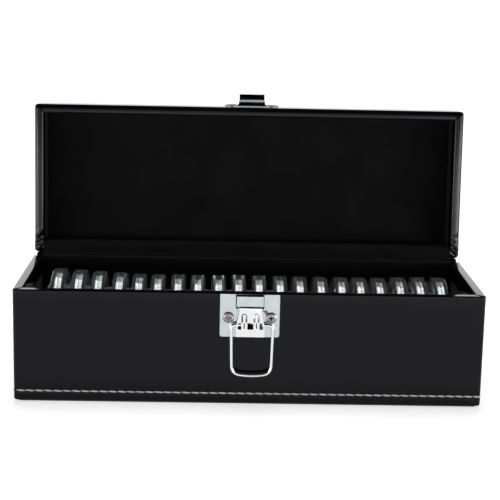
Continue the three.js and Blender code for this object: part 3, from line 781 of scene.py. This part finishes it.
# %% Capsules
COUNT = 20
PITCH = 10.65
ROW_SHIFT = 0.4
CAPSULE_RADIUS, CAPSULE_HALF = 25.5, 3.8
CAPSULE_CENTRE = 32.5
LARGEST_LIFT = 2.4
LARGEST_LEAN = math.radians(2.4)
LIFT_SHARES = [1, 0.75, 0.5, 0.29, 0.1, 0, 0.08, 0, 0, 0.15, 0.12, 0.08, 0, 0, 0, 0, 0, 0.2,
               0.25, 0.3]
LEAN_SHARES = [0.35, 0.38, 0.1, 0.45, 0.1, -0.6, -0.6, -0.8, -0.5, -0.4, -0.3, 0.15, 0.1,
               0.65, 1, 0.3, -0.1, 0, -0.2, 0.2]
plain_half = [(0, -3.8), (24.4, -3.8), (24.8, -3.8), (25.5, -3.1), (25.5, -2.7), (25.5, -0.15),
              (24.1, -0.15), (24.1, -1.5), (23.1, -1.5), (23.1, -1.8), (0, -1.8)]
plain_radii = [0, 0, 0.4, 0.4, 0, 0, 0, 0, 0, 0, 0]
ring_half = [(0, 1.8), (23.1, 1.8), (23.1, -1.2), (23.8, -1.2), (23.8, 0.15), (25.5, 0.15),
             (25.5, 2.7), (25.5, 3.1), (24.8, 3.8), (24.4, 3.8), (0, 3.8)]
ring_radii = [0, 0, 0, 0, 0, 0, 0, 0.4, 0.4, 0, 0]
profiles = {"left": rounded(plain_half, plain_radii, 3),
            "right": rounded(ring_half, ring_radii, 3)}


def capsule_stand(i):
    x = ROW_SHIFT + (i - (COUNT - 1) / 2) * PITCH
    return Vector((x, 0, CAPSULE_CENTRE + LIFT_SHARES[i] * LARGEST_LIFT))


def capsule_name(i):
    return f"capsule_{i + 1:02d}"


def capsule_part(i, what, profile, material):
    return turned(f"{capsule_name(i)}_{what}", profile, 96, material,
                  LEAN_SHARES[i] * LARGEST_LEAN, capsule_stand(i) * MM)


for i in range(COUNT):
    for side, points in profiles.items():
        shell = capsule_part(i, f"{side}_shell", points, capsule_plastic)
        dress(shell, capsule_name(i), capsule_plastic, "clear_plastic",
              f"{capsule_name(i)}_{side}_half")
print("capsule shells:", 2 * COUNT)

# %% [markdown]
# ## White rings, a painted reflection
# Inside each capsule lies a matt white ring, just inside the clear rim. It is a painted
# reflection: a lit white ring that stands for the bright band of overhead light seen in the rim.
# It is turned by the same recipe from a closed section, and its bump has fine closed cells.


# %% White rings, a painted reflection
# The white of these rings is a painted reflection of the overhead light in the clear rims.
finish = Finish("white_foam")
painted_reflection = finish.coat(
    Base_Color=finish.tones(finish.speckle(180, 3), (214, 218, 220), (232, 235, 236)),
    Roughness=0.8, Normal=finish.relief(finish.cells(2200), 0.05, 0.5))
RING_OUTER, RING_INNER, RING_HALF = 23.0, 19.5, 1.65
ring_corners = [(RING_INNER, -RING_HALF), (RING_OUTER, -RING_HALF), (RING_OUTER, RING_HALF),
                (RING_INNER, RING_HALF)]
ring_line = rounded(ring_corners, [0.25] * 4, 2, closed=True)
for i in range(COUNT):
    ring = capsule_part(i, "foam_ring", ring_line + ring_line[:1], painted_reflection)
    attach(ring, capsule_name(i))
print("foam rings:", COUNT)

# %% [markdown]
# ## The formed tray
# The tray is one clear sheet drawn down over a mould: a flat deck with a deep narrow pocket for
# each capsule and a short skirt all round. It is built as one net of points. Each pocket has
# its own columns of points, which carry the sheet down its sides, and the rows follow the
# round bottoms. Solidify then gives the net the thickness of the sheet.

# %% Tray
DECK = BASE_HEIGHT - 17.1
POCKET_RADIUS = CAPSULE_RADIUS + 0.4
POCKET_HALF = CAPSULE_HALF + 0.5
TRAY_HALF_DEPTH = 35.0
TRAY_END = 6.4
SKIRT = 4.0
TRAY_SHEET = 0.45
lip_columns = [(0.75, 0), (0.45, 0.012), (0.22, 0.06), (0.1, 0.2), (0.06, 0.6), (0, 0.93),
               (-0.35, 0.99), (-0.9, 1)]
end_columns = [(0, None), (0.15, -0.4), (0.6, 0), (3, 0)]


def tray_columns():
    """(x, share of the pocket's depth, capsule) for every column of the net."""
    columns = []
    for i in range(COUNT):
        centre = capsule_stand(i).x
        left = [(centre - POCKET_HALF - out, share, i) for out, share in lip_columns]
        right = [(centre + POCKET_HALF + out, share, i) for out, share in reversed(lip_columns)]
        columns += left + [(centre, 1, i)] + right
    start, end = capsule_stand(0).x, capsule_stand(COUNT - 1).x
    reach = CAPSULE_HALF + TRAY_END
    left_end = [(start - reach + inwards, share, 0) for inwards, share in end_columns]
    right_end = [(end + reach - inwards, share, COUNT - 1)
                 for inwards, share in reversed(end_columns)]
    return left_end + columns + right_end


def tray_rows():
    """(y, height of the pocket's bottom, drop of the skirt) for every row of the net."""
    inner = [math.sin(math.radians(a)) * POCKET_RADIUS for a in range(-90, 91, 5)]
    middle_rows = [(y, CAPSULE_CENTRE - math.sqrt(max(POCKET_RADIUS ** 2 - y * y, 0)), 0)
                   for y in inner]
    flat = (POCKET_RADIUS + 0.12, POCKET_RADIUS + 0.4, 30, 33, TRAY_HALF_DEPTH - 0.5)
    edges = [(y, None, 0) for y in flat]
    edges += [(TRAY_HALF_DEPTH - 0.12, None, 0.15), (TRAY_HALF_DEPTH, None, 0.6),
              (TRAY_HALF_DEPTH + 0.2, None, SKIRT)]
    front = [(-y, bottom, drop) for y, bottom, drop in reversed(edges)]
    return front + middle_rows + edges


def lift_at(x):
    """How far the tray is lifted at x: it is bent up a little at its left end."""
    place = (x - capsule_stand(0).x) / PITCH
    i = min(max(int(math.floor(place)), 0), COUNT - 2)
    share = LIFT_SHARES[i] + (LIFT_SHARES[i + 1] - LIFT_SHARES[i]) * (place - i)
    return share * LARGEST_LIFT


def tray_net():
    columns, rows = tray_columns(), tray_rows()
    vertices = []
    for x, share, i in columns:
        lift, lean = LIFT_SHARES[i] * LARGEST_LIFT, LEAN_SHARES[i] * LARGEST_LEAN
        for y, bottom, drop in rows:
            deck = DECK + lift_at(x)
            end_drop = SKIRT if share is None else max(-share, 0)
            height = deck - max(drop, end_drop)
            if share and share > 0 and bottom is not None:
                height = deck + share * (bottom + lift - deck)
            shift = math.tan(lean) * (height - CAPSULE_CENTRE - lift) if share else 0
            vertices.append((x + shift, y, height))
    return vertices, woven(len(columns), len(rows), ring=False)


# The net is the sheet's upper side, so its faces look up.
tray = new_piece("tray_sheet", *tray_net())
if sum(face.normal.z * face.area for face in tray.data.polygons) < 0:
    tray.data.flip_normals()
thickness = tray.modifiers.new("sheet", "SOLIDIFY")
thickness.thickness = TRAY_SHEET * MM
thickness.offset = -1
applied(tray)
dress(tray, "tray", tray_plastic, "clear_sheet", "capsule_tray")
report(tray)

# %% [markdown]
# ## Pressed parts of the latch
# The plate, the lever and the hook have the right shape as solids, but pressed sheet has no
# sharp edges, and chrome shows every edge as a bright or dark line. Each is copied, its
# triangles are merged back into flat faces, and a narrow bevel eases all the edges. The lever
# keeps its triangles, which run round its windows.


# %% Pressed parts
SOFT_EDGE = 0.65


def eased_copy(name, node, width, body, metal, soft=None, merged=True):
    """soft says which points lie on the edges that were bent round, and not sheared."""
    piece = in_scene(name, solids[node].data.copy())
    made = bmesh.new()
    made.from_mesh(piece.data)
    bmesh.ops.remove_doubles(made, verts=made.verts, dist=0.003 * MM)
    if merged:
        bmesh.ops.dissolve_limit(made, angle_limit=math.radians(1), verts=made.verts,
                                 edges=made.edges)
    if soft:
        bent = [e for e in made.edges if all(soft(v.co / MM) for v in e.verts)]
        bmesh.ops.bevel(made, geom=bent, offset=SOFT_EDGE * MM, segments=4, profile=0.5,
                        affect="EDGES", clamp_overlap=True)
    made.to_mesh(piece.data)
    made.free()
    bevel = piece.modifiers.new("eased edges", "BEVEL")
    bevel.width = width * MM
    bevel.segments = 3
    bevel.limit_method = "ANGLE"
    bevel.angle_limit = math.radians(24)
    bevel.miter_outer = "MITER_ARC"
    applied(piece)
    for face in piece.data.polygons:
        face.use_smooth = True
    piece.data.set_sharp_from_angle(angle=math.radians(40))
    even = piece.modifiers.new("flat faces stay flat", "WEIGHTED_NORMAL")
    even.keep_sharp = True
    even.weight = 100
    applied(piece)
    dress(piece, body, metal, "chrome", node)
    report(piece)


LIP_TOP = BASE_HEIGHT - 0.45
PLATE_FRONT = FRONT - 1.1
LIP_FRONT = FRONT - 4.45


def bent_round(p):
    on_plate = p.z > BASE_HEIGHT - 0.02 and p.y < PLATE_FRONT + 0.02
    on_lip = p.z > LIP_TOP - 0.02 and p.y < LIP_FRONT + 0.02
    return on_plate or on_lip


eased_copy("latch_plate_pressed", "latch_plate", 0.1, "base", nickel, bent_round)
eased_copy("lever_pressed", "latch_lever", 0.06, "lever", chrome, merged=False)
eased_copy("hook_pressed", "hook_plate", 0.16, "lid", grey_steel)

# %% [markdown]
# ## The wire bail
# The bail is one length of round wire, bent at four corners. Its middle line is a flat path
# with eased corners. Geometry Nodes turn the path into a curve and sweep a circle along it.


# %% Wire recipe and bail
def wire_recipe():
    recipe = Recipe("drawn_wire", [
        ("Radius", "Float", 0.001), ("Sides", "Int", 16), ("Material", "Material", None)])
    line = recipe.geo("MeshToCurve", {"Mesh": recipe["Geometry"]})
    circle = recipe.geo("CurvePrimitiveCircle", {
        "Resolution": recipe["Sides"], "Radius": recipe["Radius"]})
    tube = recipe.geo("CurveToMesh", {
        "Curve": line[0], "Profile Curve": circle[0], "Fill Caps": True})
    return recipe.finish_with(tube[0])


WIRE_RADIUS = 0.8
BAIL_SHIFT = 1.2
bail_pivot = Vector(joints["bail_hinge"]["pos_m"]) / MM
bail_corners = [(-5, 0), (-10.6, 0), (-10, -25.7), (0, -26.9), (10, -25.7),
                (10.6, 0), (5, 0)]
bail_path = divided(rounded(bail_corners, [0, 2.5, 5, 60, 5, 2.5, 0], 8),
                    1.5)
bail_mesh = mesh_of(
    "bail_path", [(BAIL_SHIFT + x, bail_pivot.y, bail_pivot.z + z) for x, z in bail_path],
    [(i, i + 1) for i in range(len(bail_path) - 1)])
bail = follow(wire_recipe(), "bail_wire", bail_mesh, Radius=WIRE_RADIUS * MM, Sides=20,
              Material=chrome)
face_outwards(bail)
dress(bail, "bail", chrome, "chrome", "wire_bail")
report(bail)

# %% [markdown]
# ## Screws, rivets and pin
# The screws are turned blanks with a cross cut into the head by a boolean. The turned shapes
# come from the same recipe as the capsules, and a second recipe sets one of them on several
# points at once.


# %% Screws, rivets and pin
def repeat_recipe():
    recipe = Recipe("set_on_points", [
        ("Part", "Object", None), ("Turn", "Vector", (0, 0, 0)), ("Material", "Material", None)])
    part = recipe.geo("ObjectInfo", {"Object": recipe["Part"]})
    copies = recipe.geo("InstanceOnPoints", {
        "Points": recipe["Geometry"], "Instance": part["Geometry"], "Rotation": recipe["Turn"]})
    return recipe.finish_with(copies[0])


repeating = repeat_recipe()


def turned_blank(name, points, radii):
    """A turned part with eased corners, which stands along Z with its head up."""
    profile = rounded(points, radii, 3)
    blank = turned(name, profile, 40, chrome, math.pi / 2, Vector((0, 0, 0)))
    blank.data.transform(Matrix.Rotation(math.pi, 4, "X"))
    return blank


BAR_FACES = [(3, 2, 1, 0), (4, 5, 6, 7), (0, 1, 5, 4), (1, 2, 6, 5), (2, 3, 7, 6), (3, 0, 4, 7)]


def cross_bar(crosswise):
    """A bar above the head, narrowing downwards as a driver's tip does."""
    points = []
    for height, half_long, half_wide in ((-0.3, 1.15, 0.3), (1.6, 1.6, 0.4)):
        for a, b in ((-1, -1), (1, -1), (1, 1), (-1, 1)):
            flat = (b * half_wide, a * half_long) if crosswise else (a * half_long, b * half_wide)
            points.append((*flat, height))
    return new_piece("cross_bar", points, BAR_FACES)


def cross_headed_screw():
    head = [(0, -4.2), (0.9, -4.2), (0.9, 0), (2.45, 0), (2.9, 0.3), (2.75, 0.6), (2, 0.95),
            (0, 1.1)]
    screw = turned_blank("screw_pattern", head, [0, 0.2, 0.1, 0.1, 0.1, 0.2, 0.6, 0])
    for crosswise in (False, True):
        cutter = cross_bar(crosswise)
        recess = screw.modifiers.new("recess", "BOOLEAN")
        recess.operation, recess.solver, recess.object = "DIFFERENCE", "EXACT", cutter
        applied(screw)
        bpy.data.objects.remove(cutter)
    return face_outwards(screw, 30)


def set_of(name, pattern, points, turn, body, metal, *replaced):
    made = follow(repeating, name, mesh_of(name, points), Part=pattern, Turn=turn, Material=metal)
    dress(made, body, metal, "chrome", *replaced)
    bpy.data.objects.remove(pattern)
    report(made)


SCREW_DROP, SCREW_PLACE = 12.4, 10.85
screw_points = [(x, PLATE_FRONT, BASE_HEIGHT - SCREW_DROP) for x in (-SCREW_PLACE, SCREW_PLACE)]
set_of("latch_screws", cross_headed_screw(), screw_points, (math.pi / 2, 0, 0), "base",
       dull_steel, "latch_screw_left", "latch_screw_right")

# %% Rivets of the hook
RIVET_HEIGHT = 77
RIVET_PLACES = (-10.05, 12.15)
rivet_line = [(0, -4.2), (1, -4.2), (1, 0), (2.9, 0), (2.9, 0.12), (1.6, 0.3), (0, 0.35)]
rivet_pattern = turned_blank("rivet_pattern", rivet_line, [0, 0.2, 0.05, 0.05, 0.1, 1, 0])
rivet_points = [OPEN @ (Vector((x, PLATE_FRONT, RIVET_HEIGHT)) * MM) / MM for x in RIVET_PLACES]
set_of("hook_rivets", rivet_pattern, rivet_points, (math.pi / 2 - OPEN_ANGLE, 0, 0), "lid",
       grey_steel, "hook_rivet_left", "hook_rivet_right")

# %% Pin of the lever
PIN_HALF = size_of("latch_pin")[0] / 2
PIN_RADIUS = 0.55
pin_place = Vector(joints["lever_hinge"]["pos_m"])
pin_place.x = 0
pin_line = rounded([(0, -PIN_HALF), (PIN_RADIUS, -PIN_HALF), (PIN_RADIUS, PIN_HALF),
                    (0, PIN_HALF)], [0, 0.25, 0.25, 0], 3)
pin = turned("lever_pin", pin_line, 32, chrome, 0.0, pin_place)
dress(pin, "base", chrome, "chrome", "latch_pin")
report(pin)

# %% [markdown]
# ## The white seam
# A row of long white stitches runs round the foot of the base. The path is the outline of the
# box at the seam's height. The recipe lays points along it a stitch apart, and on each point
# sets one stitch: a short thread, thicker in the middle and pulled in at its ends. Each
# stitch slants a little, as a lockstitch does.


# %% Seam recipe
def seam_recipe():
    recipe = Recipe("seam", [
        ("Pitch", "Float", 0.0047), ("Stitch", "Float", 0.0042), ("Thread", "Float", 0.0004),
        ("Slant", "Float", 0.1), ("Material", "Material", None)])
    line = recipe.geo("MeshToCurve", {"Mesh": recipe["Geometry"]})
    spaced = recipe.geo("CurveToPoints", {"Curve": line[0], "Length": recipe["Pitch"]},
                        mode="LENGTH")
    facing = recipe.node("FunctionNodeAlignRotationToVector", {"Vector": spaced["Tangent"]},
                         axis="X")
    upright = recipe.node("FunctionNodeAlignRotationToVector", {
        "Rotation": facing[0], "Vector": (0, 0, 1)}, axis="Z", pivot_axis="X")
    slanted = recipe.node("FunctionNodeRotateRotation", {
        "Rotation": upright[0], "Rotate By": recipe.vector(y=recipe["Slant"])},
        rotation_space="LOCAL")
    half = recipe.times(recipe["Stitch"], 0.5)
    core = recipe.geo("CurvePrimitiveLine", {
        "Start": recipe.vector(recipe.times(half, -1.0)), "End": recipe.vector(half)})
    parts = recipe.geo("ResampleCurve", {"Curve": core[0], "Count": 9})
    along = recipe.geo("SplineParameter")["Factor"]
    arch = recipe.number("SINE", recipe.times(along, math.pi))
    girth = recipe.number("ADD", recipe.times(recipe.number("POWER", arch, 0.45), 0.8), 0.2)
    circle = recipe.geo("CurvePrimitiveCircle", {"Resolution": 10, "Radius": 1.0})
    stitch = recipe.geo("CurveToMesh", {
        "Curve": parts[0], "Profile Curve": circle[0],
        "Scale": recipe.times(girth, recipe["Thread"]), "Fill Caps": True})
    copies = recipe.geo("InstanceOnPoints", {
        "Points": spaced["Points"], "Instance": stitch[0], "Rotation": slanted[0]})
    return recipe.finish_with(copies[0])


SEAM_SUNK = 0.1
seam_path = [(p.x, p.y, SEAM_HEIGHT) for p in outline(SEAM_SUNK)]
seam_mesh = mesh_of("seam_path", seam_path,
                    [(i, (i + 1) % len(seam_path)) for i in range(len(seam_path))])
seam = follow(seam_recipe(), "seam_thread", seam_mesh, Pitch=4.72 * MM, Stitch=4.5 * MM,
              Thread=0.42 * MM, Slant=0.07, Material=thread)
face_outwards(seam)
dress(seam, "base", thread, None)
report(seam)

# %% [markdown]
# ## Floor, light and background
# The photograph has a plain white ground. The floor is pale and glows for the camera and for
# reflections, so it reads as white and still keeps the box's soft shadow. One large lamp
# overhead, reaching back behind the box, lights the white rings of painted reflection in the
# capsules. Low lamps at the sides and in front draw the bright edges of the lid, and two weak
# ones stand behind. Dark cards, which the camera skips, stand where a photographer's dark room
# would be, so that the chrome shows dark bands too.


# %% Floor and world
def seen_by(tree, *rays):
    """1 for the kinds of ray that are named, and 0 for all others."""
    path = add_node(tree, "ShaderNodeLightPath")
    total = path[rays[0]]
    for key in rays[1:]:
        total = add_node(tree, "ShaderNodeMath", {0: total, 1: path[key]},
                         operation="MAXIMUM")[0]
    return total


def panel(name, centre, half_wide, half_high, material):
    """A flat rectangle of the studio, given by its centre and its two half sides."""
    centre, wide, high = Vector(centre), Vector(half_wide), Vector(half_high)
    corners = [centre - wide - high, centre + wide - high, centre + wide + high,
               centre - wide + high]
    made = new_piece(name, corners, [(0, 1, 2, 3)])
    made.data.materials.append(material)
    return made


# White for the camera and for reflections, a little dimmer near the box.
NEAR_GLOW, NEAR_MIRRORED, FAR_GLOW = 0.7, 0.36, 0.97
finish = Finish("pale_floor")
away = finish.add("VectorMath", {0: finish.where}, operation="LENGTH")["Value"]
glows = []
for rays, near, start, end in (
        (["Is Camera Ray"], NEAR_GLOW, 0.3, 1.5),
        (["Is Glossy Ray", "Is Transmission Ray"], NEAR_MIRRORED, 0.2, 0.9)):
    glow = finish.spread(away, near, FAR_GLOW, start, end)
    glows.append(finish.add("Math", {0: seen_by(finish.tree, *rays), 1: glow},
                            operation="MULTIPLY")[0])
white = finish.coat(
    Base_Color=finish.blend(finish.speckle(3, 1), (186, 186, 186), (190, 190, 190)),
    Roughness=0.9, Specular_IOR_Level=0.0, Emission_Color=(1, 1, 1, 1),
    Emission_Strength=finish.add("Math", dict(enumerate(glows)), operation="ADD")[0])
panel("floor", (0, 0, 0), (14000, 0, 0), (0, 14000, 0), white)

# Cards round the camera, which polished metal shows as dark bands. The camera skips them.
finish = Finish("black_card")
black = finish.coat(
    Base_Color=finish.blend(finish.speckle(5, 1), (12, 12, 12), (20, 20, 20)),
    Roughness=0.9, Specular_IOR_Level=0.0)
for name, centre, half_high in (("front_card", (0, -2200, 1300), (0, 0, 700)),
                                ("ceiling_card", (0, 100, 2000), (0, 2300, 0)),
                                ("back_card", (0, 2400, 1500), (0, 0, 500))):
    panel(name, centre, (3000, 0, 0), half_high, black).visible_camera = False

# The room is dim for diffuse light, and white where the camera or a reflection looks.
ROOM_FILL = 0.15
room = bpy.data.worlds.new("white_room")
bpy.context.scene.world = room
room.use_nodes = True
background = room.node_tree.nodes["Background"].inputs
looked_at = seen_by(room.node_tree, "Is Camera Ray", "Is Glossy Ray", "Is Transmission Ray")
strength = add_node(room.node_tree, "ShaderNodeMapRange",
                    {"Value": looked_at, "To Min": ROOM_FILL})
feed(room.node_tree, background["Color"], (1, 1, 1, 1))
feed(room.node_tree, background["Strength"], strength["Result"])
print("floor, cards and world: 5")


# %% Lamps
def lamp(name, place, target, width, height, radiance, mirrored=True):
    data = bpy.data.lights.new(name, "AREA")
    data.shape = "RECTANGLE"
    data.size, data.size_y = width, height
    data.energy = radiance * math.pi * width * height
    made = in_scene(name, data)
    made.location = place
    aim = Vector(target) - Vector(place)
    made.rotation_euler = aim.to_track_quat("-Z", "Y").to_euler()
    made.visible_camera = False
    made.visible_glossy = mirrored


lamp("overhead", (0, 0.42, 1.15), (0, 0.15, 0), 0.75, 1.1, 8, mirrored=False)
for side, radiance in ((-1, 7), (1, 10)):
    lamp(f"low_side_{side + 1}", (side * 0.7, -0.5, 0.07), (0, -0.1, 0.07), 0.8, 0.14, radiance)
    lamp(f"back_{side + 1}", (side * 0.37, 1.5, 0.4), (0, 0, 0.06), 0.5, 0.4, 0.5)
lamp("front_left", (-0.16, -1.2, 0.06), (-0.16, 0, 0.06), 0.8, 0.12, 1.6)
lamp("front_right", (0.44, -1.2, 0.06), (0.44, 0, 0.06), 0.36, 0.12, 4)
print("lamps:", 7)
